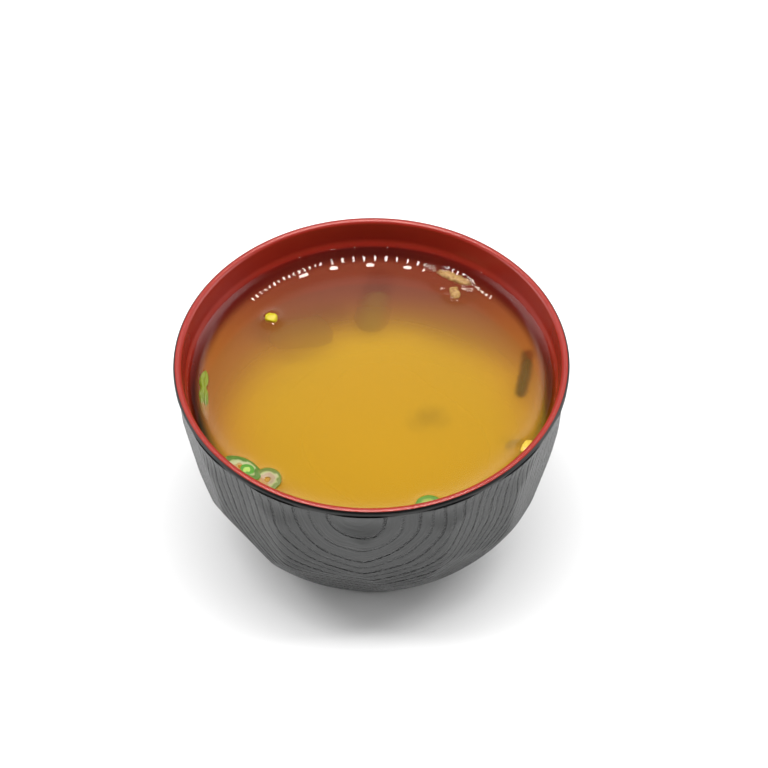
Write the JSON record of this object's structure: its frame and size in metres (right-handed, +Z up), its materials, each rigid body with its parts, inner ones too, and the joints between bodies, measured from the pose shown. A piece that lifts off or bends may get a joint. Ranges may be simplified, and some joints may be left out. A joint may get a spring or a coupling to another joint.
{
  "type": "bowl of miso soup",
  "caption": "Lacquered soup bowl with a facet-cut, wood-grain outside and a red inside, filled with cloudy miso soup with floating scallion, yellow bits and fried tofu.",
  "frame": {"origin": "centre of the foot ring's underside, on the surface that the bowl stands on", "axes": "+Z up out of the bowl's mouth, -Y the front, with a ridge between two tall facets 3 degrees left of it"},
  "size_m": [0.115, 0.115, 0.071],
  "materials": {
    "bowl": "black wood-grain lacquer outside, red lacquer inside",
    "soup": "cloudy golden broth, clear and glossy on top",
    "scallion": "wet, pale green flesh with a green skin",
    "scallion_green": "wet, leaf green",
    "yellow_bit": "wet, lemon yellow",
    "fried_tofu": "wet, light tan, crumbly"
  },
  "bodies": {
    "root": {"bowl": "bowl", "soup": "soup", "scallion_slice_oblique": "scallion", "scallion_curl": "scallion_green", "scallion_ring_left": "scallion", "scallion_ring_front": "scallion_green", "scallion_leaf": "scallion_green", "yellow_bit_left": "yellow_bit", "yellow_bit_right": "yellow_bit", "fried_tofu_sliver": "fried_tofu", "fried_tofu_bit": "fried_tofu"}
  },
  "joints": []
}
